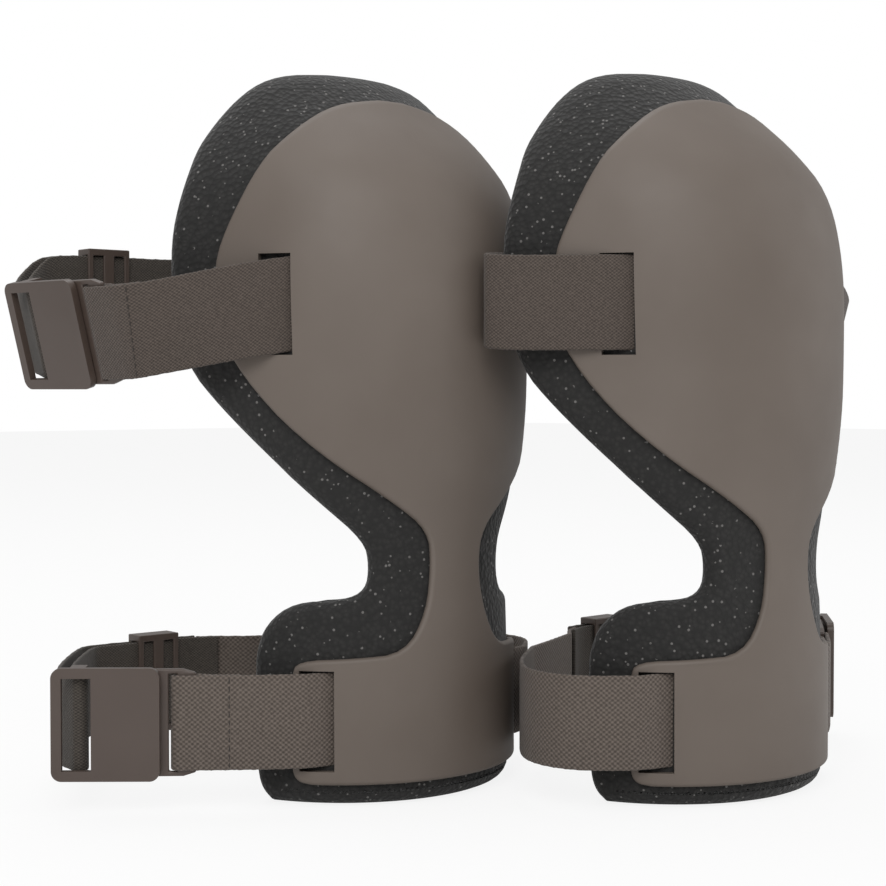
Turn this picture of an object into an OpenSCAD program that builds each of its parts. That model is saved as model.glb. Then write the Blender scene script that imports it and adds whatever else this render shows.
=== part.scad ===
// A pair of long knee pads standing upright: each has a bonded shell on a thick foam pad,
// and an upper and a lower elastic strap that close with a hook-in plate buckle.

/* [Pad] */
// Arc length of the foam from the centre line to the knee wing's edge
knee_half_w = 126; // [108:1:140]
// Height of the foam pad
pad_h = 296; // [270:1:330]
// Radius of the foam's outer face round the shin
shin_r = 67; // [58:1:76]
// Radius of the foam's outer face round the knee
knee_r = 71; // [62:1:80]
// How far the knee stands in front of the leg's axis
knee_front = 73; // [66:1:84]
// Arc length of the foam from the centre line to the shin band's edge
shin_half_w = 88; // [76:1:100]
// Height of the shin band
shin_h = 80; // [72:1:92]
// Thickness of the foam
foam_t = 13; // [10:0.5:16]
// Thickness of the shell
shell_t = 2.6; // [2:0.1:4]
// Thickness of the lining
lining_t = 1.6; // [1:0.1:2.5]
// Thickness of the knee cushion
cushion_t = 5; // [3:0.5:6]
// Distance between the two pads across the row, and from front to back
pad_step = [97, -91];

/* [Straps] */
// Width of the elastic and the webbing
strap_w = 37; // [30:0.5:44]
// Thickness of the elastic
elastic_t = 1.8; // [1.2:0.1:2.2]
// Thickness of the webbing
webbing_t = 1.5; // [1:0.1:1.8]
// Height of the lower strap's centre line at its slots
lower_z = 34.5; // [28:0.5:40]
// Height of the upper strap's centre line at its slots
upper_z = 198; // [186:0.5:206]

/* [Buckles] */
// Thickness of the catch plate
catch_t = 2.5; // [2:0.1:3]
// Length of the catch plate
catch_l = 38; // [34:0.5:44]
// Thickness of the latch plate
latch_t = 3; // [2.4:0.1:3.6]
// Length of the latch plate
latch_l = 42; // [38:0.5:46]
// Height that the plates stand beyond the strap at the top and the bottom
plate_rim = 3.5; // [3:0.1:5]
// Radius of the latch plate's bar
bar_r = 2; // [1.6:0.1:2.3]
// Length of the slider along the strap
slider_l = 20; // [17:0.5:24]
// Radius of the slider's middle bar
slider_bar_r = 1.5; // [1.2:0.1:1.8]

/* [Hidden] */

gap = 0.3;          // clearance between soft faces that touch in use
slot_room = 2.5;    // room under the strap in each slot
shell_gap = 0.8;    // bonding layer between the foam and the shell
fit = 0.35;         // clearance between moving plates
edge_r = 6;         // rounding of the foam's edge
slot_rise = 13.5;   // arc length that a strap takes to come out through the shell
recess_d = 3.2;     // depth of the foam's recess for a strap's end
tab_l = 15;         // length of a strap's end under the shell
origin_at = [pad_step.x / 2, -40.2];

// Colours
shell_c = [0.40, 0.365, 0.337];
foam_c = [0.13, 0.13, 0.12];
lining_c = [0.16, 0.155, 0.15];
cushion_c = [0.55, 0.6, 0.62];
elastic_c = [0.38, 0.34, 0.31];
webbing_c = [0.24, 0.21, 0.18];
plate_c = [0.325, 0.282, 0.26];

// ---- Curves ----

// One pass of corner cutting, which keeps both ends
function cut_corners(p) = concat(
    [p[0]],
    [for (i = [0 : len(p) - 2], k = [0.25, 0.75]) p[i] * (1 - k) + p[i + 1] * k],
    [p[len(p) - 1]]
);
function smooth(p, passes) = passes == 0 ? p : smooth(cut_corners(p), passes - 1);

// ---- The leg-shaped surface, by arc length s from the centre line and height z ----

top_z = pad_h;
knee_z = pad_h - 91;   // height where the knee wing is widest

radius_at = smooth([[0, shin_r], [65, shin_r], [100, shin_r - 2], [140, knee_r], [215, knee_r],
    [255, knee_r - 2], [top_z + 4, knee_r - 15]], 3);
front_at = smooth([[0, shin_r], [65, shin_r], [100, shin_r - 2], [150, knee_front - 0.5],
    [180, knee_front], [214, knee_front], [245, knee_front - 7], [264, knee_front - 24],
    [278, knee_front - 41], [top_z + 4, knee_front - 68]], 3);
wrap_at = smooth([[0, 90], [70, 90], [120, 68], [160, 60], [top_z + 4, 60]], 3);

// Point on the surface, off outward of the foam's outer face
function skin_point(s, z, off) =
    let (r = lookup(z, radius_at), f = lookup(z, front_at), wrap = lookup(z, wrap_at),
         bend = min(abs(s) / r * 180 / PI, wrap),
         straight = max(0, abs(s) - r * wrap * PI / 180),
         x = (r + off) * sin(bend) + straight * cos(wrap),
         y = (r + off) * cos(bend) - straight * sin(wrap))
    [sign(s) * x, r - f - y, z];

// ---- Outlines, each a list of [arc length, height] from the top down ----

foam_outline = smooth([
    [16, top_z], [40, top_z - 1.2], [62, top_z - 9], [86, top_z - 23], [104, top_z - 36],
    [118, top_z - 53], [knee_half_w, knee_z + 18], [knee_half_w + 0.5, knee_z - 8],
    [knee_half_w - 6, knee_z - 32], [106, 157], [82, 136], [59, 119],
    [39, 104], [36.5, 94], [38, shin_h + 4.5], [48, shin_h + 0.5], [shin_half_w - 18, shin_h - 0.5],
    [shin_half_w - 5, shin_h - 9], [shin_half_w, shin_h - 20], [shin_half_w + 0.5, 50],
    [shin_half_w + 0.5, 28], [shin_half_w - 0.5, 11], [shin_half_w - 3, 4], [shin_half_w - 8, 0]
], 1);

shell_top_z = top_z - 12.5;
shell_outline = smooth([
    [6, shell_top_z], [28, shell_top_z - 3.5], [52, shell_top_z - 15], [78, shell_top_z - 31],
    [95, shell_top_z - 51], [105, knee_z + 8], [104, knee_z - 18], [88, 163], [60, 139],
    [30, 120], [14, 108], [12, 94], [14.5, shin_h - 4], [24, shin_h - 20], [44, shin_h - 21.5],
    [66, shin_h - 22.5], [68.5, shin_h - 29], [68.5, 34], [68.5, 14], [66, 9.5], [60, 8.6]
], 1);

cushion_outline = smooth([[8, 243], [26, 240], [33, 224], [33, 196], [26, 180], [8, 177]], 1);

// ---- A curved sheet between two depths, with a closed ring of points at each height ----

function edge_depth(lo, hi, q, k) = (lo + hi) / 2 + (hi - lo) / 2 * q * k;

// lo and hi are the sheet's inner and outer offsets; e is its edge rounding; n its columns
module sheet(outline, lo, hi, e, n, round_top = false, recessed = false) {
    rows = len(outline);
    ring = 2 * (n + 1) + 4;
    points = [for (row = outline)
        let (z = row.y, inner = row.x - e,
             t = round_top ? max(0.3, min(1, sqrt(max(0, 1 - pow(1 - (top_z - z) / e, 2))))) : 1,
             q = z > top_z - e ? t : 1)
        each concat(
            [for (i = [0 : n]) let (s = inner * (2 * i / n - 1))
                skin_point(s, z, edge_depth(lo, hi, q, 1) - (recessed ? strap_recess(s, z) : 0))],
            [skin_point(inner + e * 0.75, z, edge_depth(lo, hi, q, 0.7)),
             skin_point(inner + e * 0.75, z, edge_depth(lo, hi, q, -0.7))],
            [for (i = [0 : n]) let (s = inner * (1 - 2 * i / n))
                skin_point(s, z, edge_depth(lo, hi, q, -1) + (recessed ? cushion_recess(s, z) : 0))],
            [skin_point(-inner - e * 0.75, z, edge_depth(lo, hi, q, -0.7)),
             skin_point(-inner - e * 0.75, z, edge_depth(lo, hi, q, 0.7))]
        )];
    sides = [for (j = [0 : rows - 2], i = [0 : ring - 1])
        let (a = j * ring + i, b = j * ring + (i + 1) % ring)
        each [[a, b, b + ring], [a, b + ring, a + ring]]];
    cap = [for (i = [0 : n - 1]) let (a = i, b = i + 1, c = 2 * n + 2 - i, d = 2 * n + 3 - i)
        each [[a, c, b], [a, d, c]]];
    ends = [each cap, [n, n + 2, n + 1], [n, n + 3, n + 2],
        [0, ring - 1, ring - 2], [0, ring - 2, 2 * n + 3]];
    last = (rows - 1) * ring;
    polyhedron(points, concat(
        sides,
        ends,
        [for (t = ends) [t[0] + last, t[2] + last, t[1] + last]]
    ));
}

// Depth of the foam's outer recess for the strap ends, and of its inner pocket for the cushion
function within(v, low, high) = v >= low && v <= high;
function strap_recess(s, z) =
    within(abs(s), lower_slot_s - tab_l - 14, lower_slot_s + slot_rise)
        && within(z, lower_z - strap_w / 2 - 5, lower_z + strap_w / 2 + 5)
    || within(abs(s), upper_slot_s - tab_l - 17, upper_slot_s + slot_rise + 3)
        && within(z, upper_z - strap_w / 2 - 8, upper_z + strap_w / 2 + 8) ? recess_d : 0;
function cushion_recess(s, z) = abs(s) < 54 && within(z, 166, 254) ? cushion_t : 0;

// ---- Strap slots in the shell: arc length of the front edge of each ----

lower_slot_s = 52;
upper_slot_s = 71.5;

module slot(s, z) {
    for (side = [-1, 1]) {
        foot = skin_point(side * s, z, 0);
        far = skin_point(side * (s + slot_rise), z, 0);
        span = norm(far - foot);
        translate(foot)
            rotate([0, 0, atan2(far.y - foot.y, far.x - foot.x)])
                translate([0, -9, -strap_w / 2 - slot_room])
                    cube([span, 18, strap_w + 1 + slot_room]);
    }
}

module shell() {
    color(shell_c)
        difference() {
            sheet(shell_outline, shell_gap, shell_gap + shell_t, 1.2, 12);
            slot(lower_slot_s, lower_z);
            slot(upper_slot_s, upper_z);
        }
}

module foam_pad() {
    color(foam_c)
        sheet(foam_outline, -foam_t, 0, edge_r, 16, true, true);
}

lining_outline = [for (row = foam_outline) if (row.y < top_z - 5 && row.y > 3) [row.x - 4, row.y]];
module lining() {
    color(lining_c)
        sheet(lining_outline, -foam_t - gap - lining_t, -foam_t - gap, 1, 10);
}

module knee_cushion() {
    color(cushion_c)
        sheet(cushion_outline, -foam_t + gap, -foam_t + cushion_t - 2 * gap, 3, 6);
}

// ---- Strap loops: plan route, height and outward lean of the strap's centre line ----
// Each starts at the buckle side's slot and ends at the other side's slot.

// The buckles are set square to these two directions, along the strap and across it
along = [0.743, -0.669];
across = [0.669, 0.743];
function plan(a, b, z, lean) = [each (along * a + across * b), z, lean];

upper_route = smooth([
    plan(-17, -69.5, upper_z, 0), plan(-40, -77, upper_z - 4, 5),
    plan(-64, -81, upper_z - 9, 12), plan(-80, -82, upper_z - 12, 15),
    plan(-92, -72, upper_z - 12, 15), plan(-112, -55.2, upper_z - 12, 15),
    plan(-128, -41.7, upper_z - 12, 15), plan(-134, -36.6, upper_z - 12, 15),
    plan(-139, -28, upper_z - 10, 12), plan(-141, -16, upper_z - 5, 7), plan(-138, -0.6, upper_z + 4, 0),
    plan(-124, 10.9, upper_z + 5, 0), plan(-112, 20.7, upper_z + 5, 0),
    plan(-100, 30.5, upper_z + 5, 0), plan(-88, 40.4, upper_z + 5, 0),
    plan(-80, 47, upper_z + 6, 0), plan(-64, 51, upper_z + 9, 0),
    plan(-40, 53, upper_z + 10, 0), plan(-8, 53.5, upper_z + 8, 0),
    plan(14, 53.5, upper_z + 6, 0), plan(30, 57, upper_z + 4, 0),
    plan(46, 63.5, upper_z + 3, 0), plan(60, 69, upper_z + 2, 0),
    plan(69, 71, upper_z + 1, 0), plan(72.5, 60, upper_z, 0),
    plan(72.5, 40, upper_z, 0), plan(73.5, 22, upper_z, 0), plan(72, 12, upper_z, 0)
], 3);

lower_route = smooth([
    plan(-2.5, -70, lower_z, 0), plan(-30, -74.2, lower_z, 0),
    plan(-48, -75.3, lower_z, 0), plan(-74, -76.9, lower_z, 0),
    plan(-98, -78.4, lower_z, 0), plan(-107, -78.9, lower_z, 0),
    plan(-114, -74, lower_z, 0), plan(-119, -63, lower_z, 0),
    plan(-121.5, -45, lower_z, 0), plan(-122.5, -25, lower_z, 0),
    plan(-123, -6, lower_z, 0),
    plan(-122, 10.7, lower_z, 0), plan(-110, 20.6, lower_z, 0),
    plan(-98, 30.5, lower_z, 0), plan(-86, 40.4, lower_z, 0),
    plan(-78, 47, lower_z, 0), plan(-64, 51, lower_z, 0),
    plan(-30, 53, lower_z, 0), plan(5, 56, lower_z, 0), plan(34, 58, lower_z, 0),
    plan(62, 54, lower_z, 0), plan(78, 36, lower_z, 0),
    plan(75, 10, lower_z, 0), plan(71.5, -1, lower_z, 0)
], 3);

// Running length along a route at each of its points
function lengths(p, i = 0, sum = 0) = i == len(p) - 1
    ? [sum]
    : concat([sum], lengths(p, i + 1, sum + norm([for (k = [0 : 2]) p[i + 1][k] - p[i][k]])));
function table(route, k) = let (at = lengths(route)) [for (i = [0 : len(route) - 1]) [at[i], route[i][k]]];
function tables(route) = [for (k = [0 : 3]) table(route, k)];
function route_length(tab) = tab[0][len(tab[0]) - 1][0];

upper = tables(upper_route);
lower = tables(lower_route);

// Position, heading and lean at length a along a loop
function spot(tab, a) = [for (k = [0 : 2]) lookup(a, tab[k])];
function heading(tab, a) =
    let (d = spot(tab, a + 4) - spot(tab, a - 4)) atan2(d.y, d.x);
function lean(tab, a) = lookup(a, tab[3]);
function outward(h, tilt) = [-sin(h) * cos(tilt), cos(h) * cos(tilt), -sin(tilt)];
function upward(h, tilt) = [-sin(h) * sin(tilt), cos(h) * sin(tilt), cos(tilt)];
function loop_point(tab, a, off) =
    let (h = heading(tab, a), tilt = lean(tab, a))
    [spot(tab, a) + off * outward(h, tilt), upward(h, tilt)];

// Steps of a strap from [a, off] to [a, off], at about 5 mm each
function stretch(tab, from, to, steps) =
    [for (i = [0 : steps]) let (p = from + (to - from) * i / steps) loop_point(tab, p[0], p[1])];

// End of a strap under the shell, on the side given by its sign
function tab_points(side, slot_s, z) =
    [for (i = [0 : 3]) let (s = slot_s - tab_l + (tab_l - 1) * i / 3)
        [skin_point(side * s, z, -elastic_t / 2 - 0.7), [0, 0, 1]]];

// A flat strap along a list of [point, up direction]
module ribbon(line, width, thick) {
    n = len(line);
    points = [for (i = [0 : n - 1])
        let (before = line[max(0, i - 1)][0], after = line[min(n - 1, i + 1)][0],
             up = line[i][1], side = cross(up, after - before), out = side / norm(side),
             p = line[i][0])
        each [p + up * width / 2 + out * thick / 2, p + up * width / 2 - out * thick / 2,
              p - up * width / 2 - out * thick / 2, p - up * width / 2 + out * thick / 2]];
    sides = [for (j = [0 : n - 2], i = [0 : 3]) let (a = 4 * j + i, b = 4 * j + (i + 1) % 4)
        each [[a, b, b + 4], [a, b + 4, a + 4]]];
    last = 4 * (n - 1);
    polyhedron(points, concat(
        sides,
        [[0, 2, 1], [0, 3, 2], [last, last + 1, last + 2], [last, last + 2, last + 3]]
    ));
}

// ---- Where things sit along a loop ----

plate_h = strap_w + 2 * plate_rim;
slit_w = elastic_t + 1.5;
end_bar = 7.3;                                    // width of the catch plate's end bar
catch_top = -elastic_t / 2 - gap;                 // outer face of the catch plate
catch_mid = catch_top - catch_t / 2;
fold_off = catch_mid - catch_t / 2 - gap - elastic_t / 2;
latch_low = catch_top + fit;                      // inner face of the latch plate
latch_from = end_bar + slit_w + 3;                // latch plate's start behind the catch plate's
bar_from = latch_from + latch_l - 10;             // latch bar's place behind the catch plate's start
wrap_r = bar_r + gap + webbing_t / 2;             // radius of the webbing round the bar
bar_off = latch_low - gap - webbing_t - wrap_r + webbing_t / 2;
web_lead = 35;                                    // how steeply the webbing leaves the bar, inward
web_off = bar_off - 4;                            // middle of the two webbing layers
window_w = 11.5;
left_edge = 4;

upper_catch_a = 78;
lower_catch_a = 54;
upper_slider_a = 208;
lower_slider_a = 234;
slider_travel = 8;
layer_off = slider_bar_r + gap + webbing_t / 2;   // webbing layers either side of the slider's bar

module on_loop(tab, a) {
    translate(spot(tab, a))
        rotate([0, 0, heading(tab, a)])
            rotate([-lean(tab, a), 0, 0])
                children();
}

// Front elastic: under the shell, out through the slot, round the catch plate's end bar and back
module front_elastic(tab, catch_a, slot_s, z) {
    turn = catch_a + end_bar + slit_w / 2;
    color(elastic_c)
        ribbon(concat(
            tab_points(-1, slot_s, z),
            stretch(tab, [11, 0], [turn - 2, 0], 14),
            [loop_point(tab, turn - 0.3, -0.7), loop_point(tab, turn + 0.1, catch_mid),
             loop_point(tab, turn - 0.3, fold_off + 0.7)],
            stretch(tab, [turn - 2, fold_off], [catch_a - 1, fold_off], 2),
            stretch(tab, [catch_a - 8, -elastic_t - gap], [catch_a - 17, -elastic_t - gap], 2)
        ), strap_w, elastic_t);
}

// Rear elastic: from the sewn joint with the webbing to the far slot and in under the shell
module rear_elastic(tab, slider_a, slot_s, z) {
    joint_a = slider_a + 24;
    color(elastic_c)
        ribbon(concat(
            stretch(tab, [joint_a, web_off - layer_off + 2], [joint_a + 14, web_off - layer_off + 2], 3),
            stretch(tab, [joint_a + 24, web_off - layer_off], [joint_a + 60, -3], 7),
            stretch(tab, [joint_a + 70, 0], [route_length(tab) - 11, 0], 28),
            [for (i = [len(tab_points(1, slot_s, z)) - 1 : -1 : 0]) tab_points(1, slot_s, z)[i]]
        ), strap_w, elastic_t);
}

// Webbing: tail through the slider, round the latch bar, back through the slider to the elastic
module webbing(tab, catch_a, slider_a) {
    bar_a = catch_a + bar_from;
    color(webbing_c)
        ribbon(concat(
            stretch(tab, [slider_a + slider_l / 2 + slider_travel + 6, web_off + layer_off],
                [bar_a + 14, web_off + layer_off], 16),
            [for (turn = [90 - web_lead : 22.5 : 270 - web_lead])
                loop_point(tab, bar_a + wrap_r * cos(turn), bar_off + wrap_r * sin(turn))],
            stretch(tab, [bar_a + 14, web_off - layer_off],
                [slider_a + 36, web_off - layer_off], 17)
        ), strap_w, webbing_t);
}

// Catch plate: end bar and slit for the elastic, and a slot for the latch plate's hook
hook_w = 2.4;
hook_l = 24;
hook_from = latch_from + 7;
module catch_plate(tab, catch_a) {
    color(plate_c)
        on_loop(tab, catch_a + catch_l / 2)
            translate([-catch_l / 2, catch_mid + catch_t / 2, 0])
                rotate([90, 0, 0])
                    linear_extrude(catch_t)
                        difference() {
                            polygon([[0, -strap_w / 2 - 1], [5, -plate_h / 2 + 1], [catch_l, -plate_h / 2 + 1],
                                [catch_l, plate_h / 2 - 1], [5, plate_h / 2 - 1], [0, strap_w / 2 + 1]]);
                            translate([end_bar, -strap_w / 2 - 0.6])
                                square([slit_w, strap_w + 1.2]);
                            translate([hook_from - 1.2, -hook_l / 2 - 1])
                                square([hook_w + 2.8, hook_l + 2]);
                        }
}

// Latch plate: round-cornered plate with a window, two ears that carry the bar, and a hook rib
corner_r = 4;
module latch_outline() {
    for (x = [corner_r, latch_l - corner_r], y = [-1, 1])
        translate([x, y * (plate_h / 2 - corner_r)])
            circle(corner_r, $fn = 48);
    translate([0, corner_r - plate_h / 2])
        square([latch_l, plate_h - 2 * corner_r]);
    translate([corner_r, -plate_h / 2])
        square([latch_l - 2 * corner_r, plate_h]);
}

module latch_plate(tab, catch_a) {
    ear_t = plate_rim - 0.7;
    bar_x = latch_l - 10;
    color(plate_c)
        on_loop(tab, catch_a + bar_from)
            translate([-bar_x, 0, 0]) {
                difference() {
                    translate([0, latch_low + latch_t, 0])
                        rotate([90, 0, 0])
                            linear_extrude(latch_t)
                                latch_outline();
                    translate([latch_l - left_edge - window_w, latch_low - 1, -strap_w / 2 + 0.5])
                        cube([window_w, latch_t + 2, strap_w - 1]);
                }
                translate([bar_x, bar_off, -plate_h / 2])
                    cylinder(h = plate_h, r = bar_r, $fn = 48);
                for (z = [-plate_h / 2, plate_h / 2 - ear_t])
                    translate([bar_x - bar_r - 1, bar_off - bar_r - 0.6, z])
                        cube([2 * bar_r + 2, latch_low - bar_off + bar_r + 0.6 + latch_t / 2, ear_t]);
                translate([hook_from - latch_from, catch_mid - 0.6, -hook_l / 2])
                    cube([hook_w, latch_low - catch_mid + 1.6, hook_l]);
            }
}

// Slider: a frame with a round middle bar between the two webbing layers
module slider(tab, slider_a) {
    rim = plate_rim - 0.4;
    depth = 2 * (layer_off + webbing_t / 2 + gap) + 2.4;
    inside = depth - 2.4;
    color(plate_c)
        on_loop(tab, slider_a)
            translate([0, web_off, 0]) {
                difference() {
                    translate([-slider_l / 2, -depth / 2, -strap_w / 2 - rim])
                        cube([slider_l, depth, strap_w + 2 * rim]);
                    translate([-slider_l / 2 - 1, -inside / 2, -strap_w / 2 - gap])
                        cube([slider_l + 2, inside, strap_w + 2 * gap]);
                    for (x = [-slider_l / 2 + 2.5, 2.5])
                        translate([x, -depth / 2 - 1, -strap_w / 2 - gap])
                            cube([slider_l / 2 - 5, depth + 2, strap_w + 2 * gap]);
                }
                translate([0, 0, -strap_w / 2 - rim])
                    cylinder(h = strap_w + 2 * rim, r = slider_bar_r, $fn = 48);
            }
}

module upper_front_elastic() { front_elastic(upper, upper_catch_a, upper_slot_s, upper_z); }
module upper_rear_elastic() { rear_elastic(upper, upper_slider_a, upper_slot_s, upper_z); }
module upper_webbing() { webbing(upper, upper_catch_a, upper_slider_a); }
module upper_catch_plate() { catch_plate(upper, upper_catch_a); }
module upper_latch_plate() { latch_plate(upper, upper_catch_a); }
module upper_slider() { slider(upper, upper_slider_a); }
module lower_front_elastic() { front_elastic(lower, lower_catch_a, lower_slot_s, lower_z); }
module lower_rear_elastic() { rear_elastic(lower, lower_slider_a, lower_slot_s, lower_z); }
module lower_webbing() { webbing(lower, lower_catch_a, lower_slider_a); }
module lower_catch_plate() { catch_plate(lower, lower_catch_a); }
module lower_latch_plate() { latch_plate(lower, lower_catch_a); }
module lower_slider() { slider(lower, lower_slider_a); }

// ---- The pair: the right pad is the left one's mirror image, a step away ----

module on_left() {
    translate([-origin_at.x, -origin_at.y, 0])
        children();
}

module on_right() {
    translate([pad_step.x - origin_at.x, pad_step.y - origin_at.y, 0])
        mirror([1, 0, 0])
            children();
}

on_left() shell();  // left_shell
on_left() foam_pad();  // left_foam_pad
on_left() lining();  // left_lining
on_left() knee_cushion();  // left_knee_cushion
on_left() upper_front_elastic();  // left_upper_front_elastic
on_left() upper_rear_elastic();  // left_upper_rear_elastic
on_left() upper_webbing();  // left_upper_webbing
on_left() upper_catch_plate();  // left_upper_catch_plate
on_left() upper_latch_plate();  // left_upper_latch_plate
on_left() upper_slider();  // left_upper_slider
on_left() lower_front_elastic();  // left_lower_front_elastic
on_left() lower_rear_elastic();  // left_lower_rear_elastic
on_left() lower_webbing();  // left_lower_webbing
on_left() lower_catch_plate();  // left_lower_catch_plate
on_left() lower_latch_plate();  // left_lower_latch_plate
on_left() lower_slider();  // left_lower_slider
on_right() shell();  // right_shell
on_right() foam_pad();  // right_foam_pad
on_right() lining();  // right_lining
on_right() knee_cushion();  // right_knee_cushion
on_right() upper_front_elastic();  // right_upper_front_elastic
on_right() upper_rear_elastic();  // right_upper_rear_elastic
on_right() upper_webbing();  // right_upper_webbing
on_right() upper_catch_plate();  // right_upper_catch_plate
on_right() upper_latch_plate();  // right_upper_latch_plate
on_right() upper_slider();  // right_upper_slider
on_right() lower_front_elastic();  // right_lower_front_elastic
on_right() lower_rear_elastic();  // right_lower_rear_elastic
on_right() lower_webbing();  // right_lower_webbing
on_right() lower_catch_plate();  // right_lower_catch_plate
on_right() lower_latch_plate();  // right_lower_latch_plate
on_right() lower_slider();  // right_lower_slider
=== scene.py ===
"""Looks of a pair of long knee pads: bonded shells on thick foam, elastic straps and plate buckles."""

import math

import bmesh
import bpy
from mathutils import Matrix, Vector


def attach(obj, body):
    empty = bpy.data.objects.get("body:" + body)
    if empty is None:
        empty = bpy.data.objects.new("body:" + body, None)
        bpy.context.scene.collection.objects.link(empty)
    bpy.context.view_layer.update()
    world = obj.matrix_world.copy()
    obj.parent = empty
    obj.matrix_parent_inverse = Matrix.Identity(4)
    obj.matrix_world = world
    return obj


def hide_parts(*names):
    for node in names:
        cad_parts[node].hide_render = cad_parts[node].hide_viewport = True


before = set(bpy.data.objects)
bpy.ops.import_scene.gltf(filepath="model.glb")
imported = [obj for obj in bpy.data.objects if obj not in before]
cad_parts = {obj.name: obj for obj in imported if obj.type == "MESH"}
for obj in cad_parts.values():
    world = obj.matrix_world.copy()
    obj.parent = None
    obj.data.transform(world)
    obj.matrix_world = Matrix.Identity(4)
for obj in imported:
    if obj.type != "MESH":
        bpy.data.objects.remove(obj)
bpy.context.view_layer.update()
MM = 0.001
SIDES = ("left", "right")

# ---- Camera and studio ----

LENS_MM = 75.4
HEADING = math.radians(42)          # the camera looks this far from +Y towards +X
EYE = Vector((-0.550, -0.5765, 0.164))
PITCH = math.radians(1.64)
LIT_POINT = Vector((0, 0, 0.14))
FLOOR_REACH = 6
FLOOR_DROP = 0.0005                 # keeps the floor clear of the pads' feet
FLOOR_PAPER = 0.86                  # share of plain white that the camera sees on the floor


def add_camera():
    data = bpy.data.cameras.new("camera")
    data.lens = LENS_MM
    data.sensor_width = 36
    camera = bpy.data.objects.new("camera", data)
    bpy.context.scene.collection.objects.link(camera)
    camera.location = EYE
    level = math.cos(PITCH)
    look = Vector((math.sin(HEADING) * level, math.cos(HEADING) * level, -math.sin(PITCH)))
    camera.rotation_euler = look.to_track_quat("-Z", "Y").to_euler()
    bpy.context.scene.camera = camera


def add_light(name, place, size, power):
    data = bpy.data.lights.new(name, "AREA")
    data.size = size
    data.energy = power
    light = bpy.data.objects.new(name, data)
    bpy.context.scene.collection.objects.link(light)
    light.location = place
    light.rotation_euler = (LIT_POINT - Vector(place)).to_track_quat("-Z", "Y").to_euler()


def add_floor():
    mesh = bpy.data.meshes.new("floor")
    corners = [(x * FLOOR_REACH, y * FLOOR_REACH, 0) for x, y in ((-1, -1), (1, -1), (1, 1), (-1, 1))]
    mesh.from_pydata(corners, [], [(0, 1, 2, 3)])
    floor = bpy.data.objects.new("floor", mesh)
    bpy.context.scene.collection.objects.link(floor)
    floor.location.z = -FLOOR_DROP
    material = bpy.data.materials.new("floor")
    material.use_nodes = True
    nodes, links = material.node_tree.nodes, material.node_tree.links
    shader = nodes["Principled BSDF"]
    shader.inputs["Base Color"].default_value = (0.86, 0.86, 0.86, 1)
    shader.inputs["Roughness"].default_value = 0.9
    paper = nodes.new("ShaderNodeEmission")
    seen = nodes.new("ShaderNodeLightPath")
    part = nodes.new("ShaderNodeMath")
    part.operation = "MULTIPLY"
    part.inputs[1].default_value = FLOOR_PAPER
    mix = nodes.new("ShaderNodeMixShader")
    links.new(seen.outputs["Is Camera Ray"], part.inputs[0])
    links.new(part.outputs[0], mix.inputs["Fac"])
    links.new(shader.outputs[0], mix.inputs[1])
    links.new(paper.outputs[0], mix.inputs[2])
    links.new(mix.outputs[0], nodes["Material Output"].inputs["Surface"])
    mesh.materials.append(material)


def add_world():
    world = bpy.data.worlds.new("studio")
    bpy.context.scene.world = world
    world.use_nodes = True
    nodes, links = world.node_tree.nodes, world.node_tree.links
    soft = nodes["Background"]
    soft.inputs["Color"].default_value = (1, 1, 1, 1)
    soft.inputs["Strength"].default_value = 0.55
    white = nodes.new("ShaderNodeBackground")
    white.inputs["Color"].default_value = (1, 1, 1, 1)
    white.inputs["Strength"].default_value = 1.0
    seen = nodes.new("ShaderNodeLightPath")
    mix = nodes.new("ShaderNodeMixShader")
    links.new(seen.outputs["Is Camera Ray"], mix.inputs["Fac"])
    links.new(soft.outputs[0], mix.inputs[1])
    links.new(white.outputs[0], mix.inputs[2])
    links.new(mix.outputs[0], nodes["World Output"].inputs["Surface"])


add_camera()
add_floor()
add_world()
add_light("key", (-1.3, -1.2, 1.5), 1.3, 24)
add_light("fill", (1.6, -1.2, 0.9), 1.6, 9)
add_light("top", (0.2, 0.6, 1.8), 1.2, 10)
bpy.context.scene.view_settings.view_transform = "Standard"

# ---- Materials ----


def new_material(name, colour, roughness):
    material = bpy.data.materials.new(name)
    material.use_nodes = True
    shader = material.node_tree.nodes["Principled BSDF"]
    shader.inputs["Base Color"].default_value = (*colour, 1)
    shader.inputs["Roughness"].default_value = roughness
    return material, material.node_tree.nodes, material.node_tree.links, shader


def object_coords(nodes):
    return nodes.new("ShaderNodeTexCoord").outputs["Object"]


def strap_coords(nodes):
    return nodes.new("ShaderNodeTexCoord").outputs["UV"]


def add_noise(nodes, links, coords, scale, detail=3):
    noise = nodes.new("ShaderNodeTexNoise")
    noise.inputs["Scale"].default_value = scale
    noise.inputs["Detail"].default_value = detail
    links.new(coords, noise.inputs["Vector"])
    return noise.outputs["Fac"]


def add_ramp(nodes, links, value, stops):
    ramp = nodes.new("ShaderNodeValToRGB")
    for i, (place, colour) in enumerate(stops):
        stop = ramp.color_ramp.elements[i] if i < 2 else ramp.color_ramp.elements.new(place)
        stop.position = place
        stop.color = (*colour, 1)
    links.new(value, ramp.inputs["Fac"])
    return ramp.outputs["Color"]


def add_bump(nodes, links, shader, height, depth_mm, strength):
    bump = nodes.new("ShaderNodeBump")
    bump.inputs["Distance"].default_value = depth_mm * MM
    bump.inputs["Strength"].default_value = strength
    links.new(height, bump.inputs["Height"])
    links.new(bump.outputs["Normal"], shader.inputs["Normal"])


def combine(nodes, links, operation, a, b):
    node = nodes.new("ShaderNodeMath")
    node.operation = operation
    for socket, value in zip(node.inputs, (a, b)):
        if isinstance(value, (int, float)):
            socket.default_value = value
        else:
            links.new(value, socket)
    return node.outputs[0]


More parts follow.
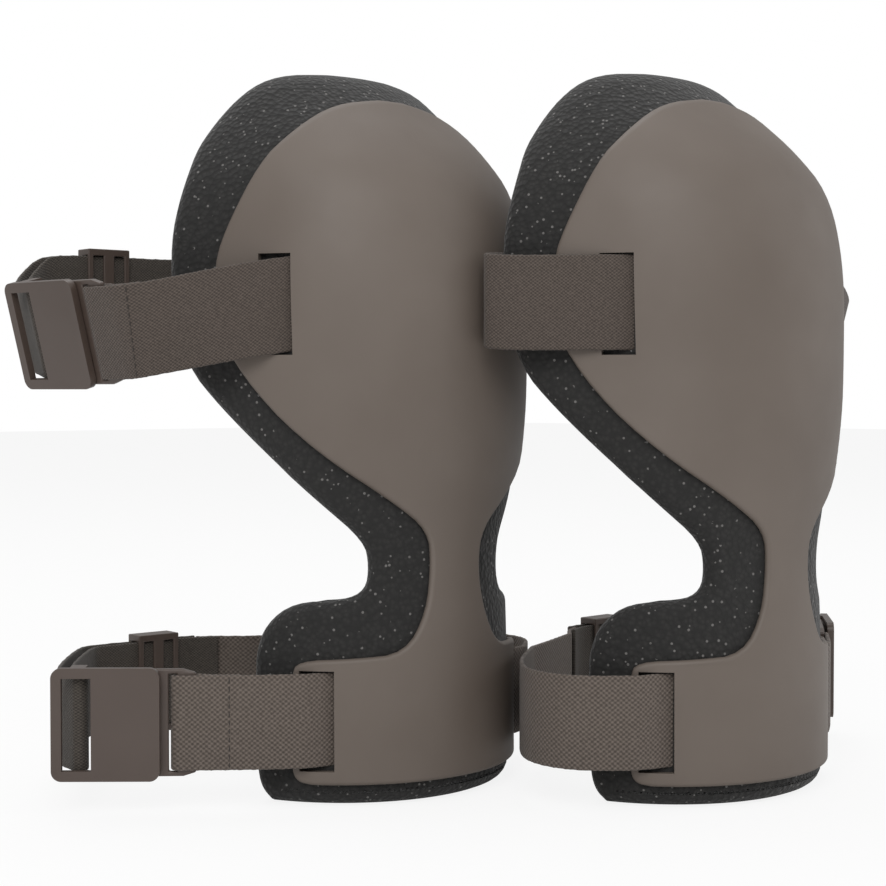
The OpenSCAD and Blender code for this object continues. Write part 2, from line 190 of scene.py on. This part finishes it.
def rubber(name, dark, light, roughness, grain):
    """Smooth moulded rubber: slow colour drift and a fine pebble grain."""
    material, nodes, links, shader = new_material(name, light, roughness)
    coords = object_coords(nodes)
    drift = add_noise(nodes, links, coords, 14, 4)
    links.new(add_ramp(nodes, links, drift, [(0.3, dark), (0.7, light)]), shader.inputs["Base Color"])
    fine = add_noise(nodes, links, coords, grain, 4)
    add_bump(nodes, links, shader, fine, 0.06, 0.35)
    worn = add_noise(nodes, links, coords, 60, 5)
    span = combine(nodes, links, "MULTIPLY", worn, 0.16)
    links.new(combine(nodes, links, "ADD", span, roughness - 0.08), shader.inputs["Roughness"])
    return material


def dotted_fabric(name, base, thread, speck, hole_mm, fleck_mm):
    """Dark spacer mesh: a knit with small raised cells, and pale flecks scattered over it."""
    material, nodes, links, shader = new_material(name, base, 0.85)
    coords = object_coords(nodes)
    cells = nodes.new("ShaderNodeTexVoronoi")
    cells.inputs["Scale"].default_value = 1 / (hole_mm * MM)
    links.new(coords, cells.inputs["Vector"])
    flecks = nodes.new("ShaderNodeTexVoronoi")
    flecks.inputs["Scale"].default_value = 1 / (fleck_mm * MM)
    links.new(coords, flecks.inputs["Vector"])
    dot = combine(nodes, links, "LESS_THAN", flecks.outputs["Distance"], 0.17)
    patch = combine(nodes, links, "GREATER_THAN", add_noise(nodes, links, coords, 260, 1), 0.44)
    dot = combine(nodes, links, "MULTIPLY", dot, patch)
    knit = add_ramp(nodes, links, cells.outputs["Distance"], [(0.1, thread), (0.6, base)])
    mix = nodes.new("ShaderNodeMix")
    mix.data_type = "RGBA"
    mix.inputs["B"].default_value = (*speck, 1)
    links.new(dot, mix.inputs["Factor"])
    links.new(knit, mix.inputs["A"])
    links.new(mix.outputs["Result"], shader.inputs["Base Color"])
    shader.inputs["Sheen Weight"].default_value = 0.12
    shader.inputs["Sheen Roughness"].default_value = 0.5
    add_bump(nodes, links, shader, cells.outputs["Distance"], 0.7, 0.8)
    return material


def woven(name, dark, light, pitch_mm, across_mm, depth_mm):
    """Woven tape: rows of floats along and across the strap, from its own length and width coordinates."""
    material, nodes, links, shader = new_material(name, light, 0.82)
    coords = strap_coords(nodes)
    split = nodes.new("ShaderNodeSeparateXYZ")
    links.new(coords, split.inputs[0])
    waves = []
    for axis, pitch in (("X", pitch_mm), ("Y", across_mm)):
        turn = combine(nodes, links, "MULTIPLY", split.outputs[axis], 2 * math.pi / (pitch * MM))
        waves.append(combine(nodes, links, "SINE", turn, 0))
    weave = combine(nodes, links, "MULTIPLY", waves[0], waves[1])
    fuzz = combine(nodes, links, "MULTIPLY", add_noise(nodes, links, object_coords(nodes), 900, 3), 0.9)
    height = combine(nodes, links, "ADD", combine(nodes, links, "MULTIPLY", weave, 0.5), fuzz)
    links.new(add_ramp(nodes, links, height, [(0.1, dark), (0.85, light)]), shader.inputs["Base Color"])
    shader.inputs["Sheen Weight"].default_value = 0.1
    shader.inputs["Sheen Roughness"].default_value = 0.5
    add_bump(nodes, links, shader, height, depth_mm, 0.7)
    return material


SHELL = rubber("shell", (0.112, 0.089, 0.073), (0.136, 0.111, 0.093), 0.58, 2600)
PLATE = rubber("plate", (0.066, 0.047, 0.038), (0.080, 0.059, 0.049), 0.42, 3400)
GEL = rubber("cushion", (0.28, 0.31, 0.33), (0.33, 0.36, 0.38), 0.5, 1500)
FOAM = dotted_fabric("foam_cover", (0.008, 0.0075, 0.007), (0.017, 0.016, 0.015),
                     (0.13, 0.125, 0.12), 2.1, 3.1)
LINING = dotted_fabric("lining", (0.012, 0.011, 0.010), (0.024, 0.023, 0.022),
                       (0.05, 0.048, 0.046), 2.6, 3.6)
LOWER_ELASTIC = woven("lower_elastic", (0.060, 0.046, 0.037), (0.150, 0.121, 0.102), 2.2, 1.9, 0.5)
UPPER_ELASTIC = woven("upper_elastic", (0.038, 0.028, 0.022), (0.100, 0.077, 0.063), 1.7, 1.3, 0.4)
WEBBING = woven("webbing", (0.022, 0.017, 0.013), (0.075, 0.062, 0.050), 1.6, 1.2, 0.25)
THREAD = woven("thread", (0.020, 0.016, 0.013), (0.045, 0.036, 0.030), 0.8, 0.8, 0.1)

# ---- The leg-shaped surface, the same as the construction model's, in millimetres ----

TOP = 296.0
KNEE = TOP - 91
SHIN_R, KNEE_R, KNEE_FRONT = 67.0, 71.0, 73.0
KNEE_W, SHIN_W, SHIN_H = 126.0, 88.0, 80.0
FOAM_T, SHELL_T, SHELL_GAP, LINING_T = 13.0, 2.6, 0.8, 1.6
PAD_STEP = (97.0, -91.0)
ORIGIN = (PAD_STEP[0] / 2, -40.2)


def cut_corners(points):
    cut = [points[0]]
    for a, b in zip(points, points[1:]):
        for k in (0.25, 0.75):
            cut.append(tuple(p + (q - p) * k for p, q in zip(a, b)))
    return cut + [points[-1]]


def smooth(points, passes):
    for _ in range(passes):
        points = cut_corners(points)
    return points


def lookup(x, table):
    if x <= table[0][0]:
        return table[0][1]
    for (x0, y0), (x1, y1) in zip(table, table[1:]):
        if x <= x1:
            return y0 + (y1 - y0) * (x - x0) / max(x1 - x0, 1e-9)
    return table[-1][1]


RADIUS = smooth([(0, SHIN_R), (65, SHIN_R), (100, SHIN_R - 2), (140, KNEE_R), (215, KNEE_R),
                 (255, KNEE_R - 2), (TOP + 4, KNEE_R - 15)], 3)
FRONT = smooth([(0, SHIN_R), (65, SHIN_R), (100, SHIN_R - 2), (150, KNEE_FRONT - 0.5),
                (180, KNEE_FRONT), (214, KNEE_FRONT), (245, KNEE_FRONT - 7), (264, KNEE_FRONT - 24),
                (278, KNEE_FRONT - 41), (TOP + 4, KNEE_FRONT - 68)], 3)
WRAP = smooth([(0, 90), (70, 90), (120, 68), (160, 60), (TOP + 4, 60)], 3)


def skin_point(s, z, off):
    r, front, wrap = lookup(z, RADIUS), lookup(z, FRONT), math.radians(lookup(z, WRAP))
    bend = min(abs(s) / r, wrap)
    straight = max(0.0, abs(s) - r * wrap)
    x = (r + off) * math.sin(bend) + straight * math.cos(wrap)
    y = (r + off) * math.cos(bend) - straight * math.sin(wrap)
    return math.copysign(x, s), r - front - y, z


def to_row(side, p):
    """A point of the left pad's own frame, in millimetres, to the row frame, for either pad."""
    if side == "left":
        return (p[0] - ORIGIN[0]) * MM, (p[1] - ORIGIN[1]) * MM, p[2] * MM
    return (PAD_STEP[0] - p[0] - ORIGIN[0]) * MM, (p[1] + PAD_STEP[1] - ORIGIN[1]) * MM, p[2] * MM


FOAM_OUTLINE = smooth([
    (16, TOP), (40, TOP - 1.2), (62, TOP - 9), (86, TOP - 23), (104, TOP - 36), (118, TOP - 53),
    (KNEE_W, KNEE + 18), (KNEE_W + 0.5, KNEE - 8), (KNEE_W - 6, KNEE - 32), (106, 157), (82, 136),
    (59, 119), (39, 104), (36.5, 94), (38, SHIN_H + 4.5), (48, SHIN_H + 0.5), (SHIN_W - 18, SHIN_H - 0.5),
    (SHIN_W - 5, SHIN_H - 9), (SHIN_W, SHIN_H - 20), (SHIN_W + 0.5, 50), (SHIN_W + 0.5, 28),
    (SHIN_W - 0.5, 11), (SHIN_W - 3, 4), (SHIN_W - 8, 0)], 2)
CUSHION_OUTLINE = smooth([(8, KNEE + 38), (26, KNEE + 35), (33, KNEE + 19), (33, KNEE - 9),
                          (26, KNEE - 25), (8, KNEE - 28)], 2)
SHELL_TOP = TOP - 12.5
SHELL_OUTLINE = smooth([
    (6, SHELL_TOP), (28, SHELL_TOP - 3.5), (52, SHELL_TOP - 15), (78, SHELL_TOP - 31),
    (95, SHELL_TOP - 51), (105, KNEE + 8), (104, KNEE - 18), (88, 163), (60, 139), (30, 120), (14, 108),
    (12, 94), (14.5, SHIN_H - 4), (24, SHIN_H - 20), (44, SHIN_H - 21.5), (66, SHIN_H - 22.5),
    (68.5, SHIN_H - 29), (68.5, 34), (68.5, 14), (66, 9.5), (60, 8.6)], 2)

# ---- Meshes ----


def finish_mesh(name, side, points, faces, material, body, slot, *nodes, uv=None):
    """Makes one closed, smooth piece out of points in the left pad's frame."""
    mesh = bpy.data.meshes.new(name)
    mesh.from_pydata([to_row(side, p) for p in points], [], faces)
    if uv:
        layer = mesh.uv_layers.new(name="length_and_width")
        for loop in mesh.loops:
            layer.data[loop.index].uv = uv[loop.vertex_index]
    work = bmesh.new()
    work.from_mesh(mesh)
    bmesh.ops.remove_doubles(work, verts=work.verts, dist=0.00001)
    bmesh.ops.dissolve_degenerate(work, dist=0.000005, edges=work.edges)
    bmesh.ops.recalc_face_normals(work, faces=work.faces)
    work.to_mesh(mesh)
    work.free()
    mesh.shade_smooth()
    mesh.materials.append(material)
    piece = bpy.data.objects.new(name, mesh)
    bpy.context.scene.collection.objects.link(piece)
    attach(piece, body)
    if nodes:
        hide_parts(*nodes)
    return piece


def inset(outline, distance):
    """The outline moved towards the sheet's inside, square to itself, and slantwise at its two ends."""
    moved = []
    for i, (s, z) in enumerate(outline):
        a, b = outline[max(0, i - 1)], outline[min(len(outline) - 1, i + 1)]
        ds, dz = b[0] - a[0], b[1] - a[1]
        if i == 0 or i == len(outline) - 1:
            ds, dz = (1, -1) if i == 0 else (-1, -1)
        size = math.hypot(ds, dz)
        corner = math.sqrt(2) if i in (0, len(outline) - 1) else 1
        moved.append((s + dz / size * distance * corner, z - ds / size * distance * corner))
    return moved


def padded_sheet(outline, low, high, edge, rings, columns, shape=None):
    """Points and faces of a sheet whose edge is rounded all the way round its outline."""
    steps = [math.pi / 2 * k / rings for k in range(rings + 1)]
    insets = [inset(outline, edge * (1 - math.cos(a))) for a in steps]
    middle, half = (low + high) / 2, (high - low) / 2
    rows, count = len(outline), 2 * rings + columns
    points, faces = [], []

    def place(row, column, face):
        q = min(row, column, rows - 1 + 2 * rings - row, count - column, rings)
        j = min(max(row - rings, 0), rows - 1)
        share = min(max((column - rings) / columns, 0), 1)
        s, z = insets[q][j]
        off = middle + face * half * math.sin(steps[q])
        if shape:
            off += shape(s * (2 * share - 1), z, face) * math.sin(steps[q])
        return skin_point(s * (2 * share - 1), z, off)

    across = count + 1
    down = rows + 2 * rings
    for face in (1, -1):
        for row in range(down):
            for column in range(across):
                points.append(place(row, column, face))
    for layer in range(2):
        base = layer * down * across
        for row in range(down - 1):
            for column in range(across - 1):
                a = base + row * across + column
                faces.append((a, a + 1, a + across + 1, a + across))
    return points, faces


def pillow(s, z, face):
    """Slow swell of the lining's face towards the leg; its outer face stays level."""
    return 0.5 * math.sin(s / 9.0) * math.sin(z / 14.0) if face < 0 else 0.0


def make_foam(side):
    points, faces = padded_sheet(FOAM_OUTLINE, -FOAM_T, 0.25, 6.2, 6, 64)
    foam = finish_mesh(side + "_foam_cover", side, points, faces, FOAM, side + "_pad", "foam",
                       side + "_foam_pad")


def make_lining(side):
    outline = [(s - 5, z) for s, z in FOAM_OUTLINE if 4 < z < TOP - 5]
    points, faces = padded_sheet(outline, -FOAM_T - 1.9, -FOAM_T + 0.4, 1.1, 3, 60, pillow)
    lining = finish_mesh(side + "_soft_lining", side, points, faces, LINING, side + "_pad", "lining",
                         side + "_lining")


def make_cushion(side):
    """The gel pad behind the knee cap, crowned towards the wearer."""
    points, faces = padded_sheet(CUSHION_OUTLINE, -FOAM_T + 0.3, -FOAM_T + 4.4, 1.9, 5, 24)
    gel = finish_mesh(side + "_gel_pad", side, points, faces, GEL, side + "_pad", "cushion",
                      side + "_knee_cushion")


def make_shell(side):
    points, faces = padded_sheet(SHELL_OUTLINE, 0.0, SHELL_GAP + SHELL_T, 1.6, 5, 60)
    return finish_mesh(side + "_cap", side, points, faces, SHELL, side + "_pad", "shell", side + "_shell")


# ---- Strap loops, the same routes as the construction model's ----

ALONG, ACROSS = (0.743, -0.669), (0.669, 0.743)
UPPER_Z, LOWER_Z = 198.0, 34.5
STRAP_W, ELASTIC_T, WEBBING_T = 37.0, 1.8, 1.5
LOWER_SLOT, UPPER_SLOT, TAB_L = 52.0, 71.5, 15.0


def plan(a, b, z, lean):
    return a * ALONG[0] + b * ACROSS[0], a * ALONG[1] + b * ACROSS[1], z, lean


UPPER_ROUTE = smooth([
    plan(-17, -69.5, UPPER_Z, 0), plan(-40, -77, UPPER_Z - 4, 5), plan(-64, -81, UPPER_Z - 9, 12),
    plan(-80, -82, UPPER_Z - 12, 15), plan(-92, -72, UPPER_Z - 12, 15), plan(-112, -55.2, UPPER_Z - 12, 15),
    plan(-128, -41.7, UPPER_Z - 12, 15), plan(-134, -36.6, UPPER_Z - 12, 15), plan(-139, -28, UPPER_Z - 10, 12),
    plan(-141, -16, UPPER_Z - 5, 7), plan(-138, -0.6, UPPER_Z + 4, 0), plan(-124, 10.9, UPPER_Z + 5, 0),
    plan(-112, 20.7, UPPER_Z + 5, 0), plan(-100, 30.5, UPPER_Z + 5, 0), plan(-88, 40.4, UPPER_Z + 5, 0),
    plan(-80, 47, UPPER_Z + 6, 0), plan(-64, 51, UPPER_Z + 9, 0), plan(-40, 53, UPPER_Z + 10, 0),
    plan(-8, 53.5, UPPER_Z + 8, 0), plan(14, 53.5, UPPER_Z + 6, 0), plan(30, 57, UPPER_Z + 4, 0),
    plan(46, 63.5, UPPER_Z + 3, 0), plan(60, 69, UPPER_Z + 2, 0), plan(69, 71, UPPER_Z + 1, 0),
    plan(72.5, 60, UPPER_Z, 0), plan(72.5, 40, UPPER_Z, 0), plan(73.5, 22, UPPER_Z, 0),
    plan(72, 12, UPPER_Z, 0)], 3)
LOWER_ROUTE = smooth([
    plan(-2.5, -70, LOWER_Z, 0), plan(-30, -74.2, LOWER_Z, 0), plan(-48, -75.3, LOWER_Z, 0),
    plan(-74, -76.9, LOWER_Z, 0), plan(-98, -78.4, LOWER_Z, 0), plan(-107, -78.9, LOWER_Z, 0),
    plan(-114, -74, LOWER_Z, 0), plan(-119, -63, LOWER_Z, 0), plan(-121.5, -45, LOWER_Z, 0),
    plan(-122.5, -25, LOWER_Z, 0), plan(-123, -6, LOWER_Z, 0), plan(-122, 10.7, LOWER_Z, 0),
    plan(-110, 20.6, LOWER_Z, 0), plan(-98, 30.5, LOWER_Z, 0), plan(-86, 40.4, LOWER_Z, 0),
    plan(-78, 47, LOWER_Z, 0), plan(-64, 51, LOWER_Z, 0), plan(-30, 53, LOWER_Z, 0), plan(5, 56, LOWER_Z, 0),
    plan(34, 58, LOWER_Z, 0), plan(62, 54, LOWER_Z, 0), plan(78, 36, LOWER_Z, 0), plan(75, 10, LOWER_Z, 0),
    plan(71.5, -1, LOWER_Z, 0)], 3)


class Loop:
    """A strap's route, read by the length run along it."""

    def __init__(self, route, catch_at, slider_at, slot_s, slot_z):
        at = [0.0]
        for p, q in zip(route, route[1:]):
            at.append(at[-1] + math.dist(p[:3], q[:3]))
        self.tables = [[(a, p[k]) for a, p in zip(at, route)] for k in range(4)]
        self.length = at[-1]
        self.catch_at, self.slider_at, self.slot_s, self.slot_z = catch_at, slider_at, slot_s, slot_z

    def spot(self, a):
        return Vector([lookup(a, self.tables[k]) for k in range(3)])

    def frame_at(self, a):
        """Strap's way along, way out and way up at length a."""
        d = self.spot(a + 4) - self.spot(a - 4)
        h, tilt = math.atan2(d.y, d.x), math.radians(lookup(a, self.tables[3]))
        out = Vector((-math.sin(h) * math.cos(tilt), math.cos(h) * math.cos(tilt), -math.sin(tilt)))
        up = Vector((-math.sin(h) * math.sin(tilt), math.cos(h) * math.sin(tilt), math.cos(tilt)))
        return Vector((math.cos(h), math.sin(h), 0)), out, up

    def point(self, a, off):
        _, out, up = self.frame_at(a)
        return self.spot(a) + out * off, up

    def stretch(self, start, end, steps):
        """Points from start to end, each a length along the strap and a distance out from it."""
        (a, off), (a_end, off_end) = start, end
        return [self.point(a + (a_end - a) * i / steps, off + (off_end - off) * i / steps)
                for i in range(steps + 1)]

    def tab(self, sign):
        return [(Vector(skin_point(sign * (self.slot_s - TAB_L + (TAB_L - 1) * i / 3), self.slot_z,
                                   -ELASTIC_T / 2 - 0.7)), Vector((0, 0, 1))) for i in range(4)]


LOOPS = {
    "upper": Loop(UPPER_ROUTE, 78, 208, UPPER_SLOT, UPPER_Z),
    "lower": Loop(LOWER_ROUTE, 54, 234, LOWER_SLOT, LOWER_Z),
}
GAP, FIT = 0.3, 0.35
CATCH_T, LATCH_L, END_BAR = 2.5, 42.0, 7.3
SLIT_W = ELASTIC_T + 1.5
CATCH_TOP = -ELASTIC_T / 2 - GAP
CATCH_MID = CATCH_TOP - CATCH_T / 2
FOLD_OFF = CATCH_MID - CATCH_T / 2 - GAP - ELASTIC_T / 2
BAR_FROM = END_BAR + SLIT_W + 3 + LATCH_L - 10
WRAP_R = 2 + GAP + WEBBING_T / 2
BAR_OFF = CATCH_TOP + FIT - GAP - WEBBING_T - WRAP_R + WEBBING_T / 2
WEB_OFF = BAR_OFF - 4
LAYER = 1.5 + GAP + WEBBING_T / 2
WEB_LEAD, SLIDER_HALF, SLIDER_TRAVEL = 35, 10, 8


def round_off(line, passes=2):
    """The same strap line with its bends eased by corner cutting."""
    flat = [(*p, *up) for p, up in line]
    return [(Vector(p[:3]), Vector(p[3:]).normalized()) for p in smooth(flat, passes)]


def make_ribbon(name, side, line, thick, material, slot, nodes, width=STRAP_W):
    """A woven strap with rounded edges, and length and width coordinates for its weave."""
    edge = [(math.cos(a), math.sin(a)) for a in [math.pi / 2 - math.pi * k / 6 for k in range(7)]]
    section = [(width / 2 - thick / 2 + c * thick / 2, s * thick / 2) for c, s in edge]
    section += [(-width / 2 + thick / 2 - c * thick / 2, -s * thick / 2) for c, s in edge]
    ring = len(section)
    points, uv, faces, run = [], [], [], 0.0
    for i, (p, up) in enumerate(line):
        before, after = line[max(0, i - 1)][0], line[min(len(line) - 1, i + 1)][0]
        out = up.cross(after - before).normalized()
        run += (p - before).length if i else 0.0
        waver = 0.12 * math.sin(run * 1.7) + 0.08 * math.sin(run * 0.61 + 1)
        for across, depth in section:
            reach = across + math.copysign(waver, across)
            points.append(p + up * reach + out * depth)
            uv.append((run * MM, reach * MM))
    for j in range(len(line) - 1):
        for i in range(ring):
            a, b = j * ring + i, j * ring + (i + 1) % ring
            faces.append((a, b, b + ring, a + ring))
    faces.append(tuple(range(ring)))
    faces.append(tuple(range((len(line) - 1) * ring, len(line) * ring)))
    return finish_mesh(name, side, points, faces, material, side + "_pad", slot, *nodes, uv=uv)


def front_line(loop):
    turn = loop.catch_at + END_BAR + SLIT_W / 2
    return (loop.tab(-1) + loop.stretch((11, 0), (turn - 2, 0), 14)
            + [loop.point(turn - 0.3, -0.7), loop.point(turn + 0.1, CATCH_MID),
               loop.point(turn - 0.3, FOLD_OFF + 0.7)]
            + loop.stretch((turn - 2, FOLD_OFF), (loop.catch_at - 1, FOLD_OFF), 2)
            + loop.stretch((loop.catch_at - 8, -ELASTIC_T - GAP), (loop.catch_at - 17, -ELASTIC_T - GAP), 2))


def rear_line(loop):
    joint = loop.slider_at + 24
    low = WEB_OFF - LAYER
    return (loop.stretch((joint, low + 2), (joint + 14, low + 2), 3)
            + loop.stretch((joint + 24, low), (joint + 60, -3), 7)
            + loop.stretch((joint + 70, 0), (loop.length - 11, 0), 28) + loop.tab(1)[::-1])


def webbing_line(loop):
    bar = loop.catch_at + BAR_FROM
    tail = loop.slider_at + SLIDER_HALF + SLIDER_TRAVEL + 6
    turns = [math.radians(90 - WEB_LEAD + 22.5 * k) for k in range(9)]
    return (loop.stretch((tail, WEB_OFF + LAYER), (bar + 14, WEB_OFF + LAYER), 16)
            + [loop.point(bar + WRAP_R * math.cos(t), BAR_OFF + WRAP_R * math.sin(t)) for t in turns]
            + loop.stretch((bar + 14, WEB_OFF - LAYER), (loop.slider_at + 36, WEB_OFF - LAYER), 17))


def make_straps(side, level):
    loop = LOOPS[level]
    elastic = UPPER_ELASTIC if level == "upper" else LOWER_ELASTIC
    name = side + "_" + level
    make_ribbon(name + "_front_strap", side, round_off(front_line(loop)), ELASTIC_T, elastic, "elastic",
                [name + "_front_elastic"])
    make_ribbon(name + "_rear_strap", side, round_off(rear_line(loop)), ELASTIC_T, elastic, "elastic",
                [name + "_rear_elastic"])
    make_ribbon(name + "_webbing_loop", side, round_off(webbing_line(loop)), WEBBING_T, WEBBING, "webbing",
                [name + "_webbing"])
    make_stitches(name + "_seam", side, loop, loop.catch_at - 13, ELASTIC_T / 2)


def make_stitches(name, side, loop, at, off):
    """One row of stitches across the strap, each a short rounded thread."""
    way, out, up = loop.frame_at(at)
    centre = loop.spot(at) + out * off
    points, faces = [], []
    count, length, radius, sides = 11, 2.1, 0.28, 6
    for i in range(count):
        middle = centre + up * ((i - (count - 1) / 2) * (STRAP_W - 4) / (count - 1))
        base = len(points)
        for k in range(5):
            t = k / 4
            bulge = math.sin(math.pi * (0.12 + 0.76 * t))
            for q in range(sides):
                a = 2 * math.pi * q / sides
                points.append(middle + up * (t - 0.5) * length
                              + (way * math.cos(a) + out * math.sin(a)) * radius * bulge)
        for k in range(4):
            for q in range(sides):
                a, b = base + k * sides + q, base + k * sides + (q + 1) % sides
                faces.append((a, b, b + sides, a + sides))
        faces.append(tuple(range(base, base + sides)))
        faces.append(tuple(range(base + 4 * sides, base + 5 * sides)))
    finish_mesh(name, side, points, faces, THREAD, side + "_pad", "elastic")


def soften_plate(node, width):
    """Rounded edges and a moulded finish on a plate that keeps its construction shape."""
    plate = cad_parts[node]
    weld = plate.modifiers.new("weld", "WELD")
    weld.merge_threshold = 0.00001
    bevel = plate.modifiers.new("bevel", "BEVEL")
    bevel.width = width * MM
    bevel.segments = 3
    bevel.limit_method = "ANGLE"
    bevel.angle_limit = math.radians(35)
    plate.data.materials.clear()
    plate.data.materials.append(PLATE)


def cut_slots(shell, side):
    """Opens the shell's two pairs of slots, where the straps come out from under it."""
    below, above, before, along = 1.9, 0.7, 0.4, 13
    points, faces = [], []
    for slot_s, z in ((LOWER_SLOT, LOWER_Z), (UPPER_SLOT, UPPER_Z)):
        for sign in (-1, 1):
            base = len(points)
            for height in (-STRAP_W / 2 - below, STRAP_W / 2 + above):
                for s in (slot_s - before, slot_s + along):
                    for off in (-4, 8):
                        points.append(skin_point(sign * s, z + height, off))
            box_faces = ((0, 1, 3, 2), (4, 6, 7, 5), (0, 4, 5, 1), (2, 3, 7, 6), (0, 2, 6, 4), (1, 5, 7, 3))
            faces += [tuple(base + k for k in face) for face in box_faces]
    mesh = bpy.data.meshes.new("slot_cutter")
    mesh.from_pydata([to_row(side, p) for p in points], [], faces)
    work = bmesh.new()
    work.from_mesh(mesh)
    bmesh.ops.recalc_face_normals(work, faces=work.faces)
    work.to_mesh(mesh)
    work.free()
    cutter = bpy.data.objects.new("slot_cutter", mesh)
    bpy.context.scene.collection.objects.link(cutter)
    cut = shell.modifiers.new("slots", "BOOLEAN")
    cut.operation = "DIFFERENCE"
    cut.solver = "EXACT"
    cut.object = cutter
    bpy.context.view_layer.objects.active = shell
    bpy.context.view_layer.update()
    solid = bpy.data.meshes.new_from_object(shell.evaluated_get(bpy.context.evaluated_depsgraph_get()))
    shell.modifiers.clear()
    shell.data = solid
    bpy.data.objects.remove(cutter)
    solid.set_sharp_from_angle(angle=math.radians(40))


for side in SIDES:
    make_foam(side)
    make_lining(side)
    cut_slots(make_shell(side), side)
    make_cushion(side)
    for level in LOOPS:
        make_straps(side, level)
        soften_plate(side + "_" + level + "_latch_plate", 0.9)
        soften_plate(side + "_" + level + "_catch_plate", 0.6)
        soften_plate(side + "_" + level + "_slider", 0.5)
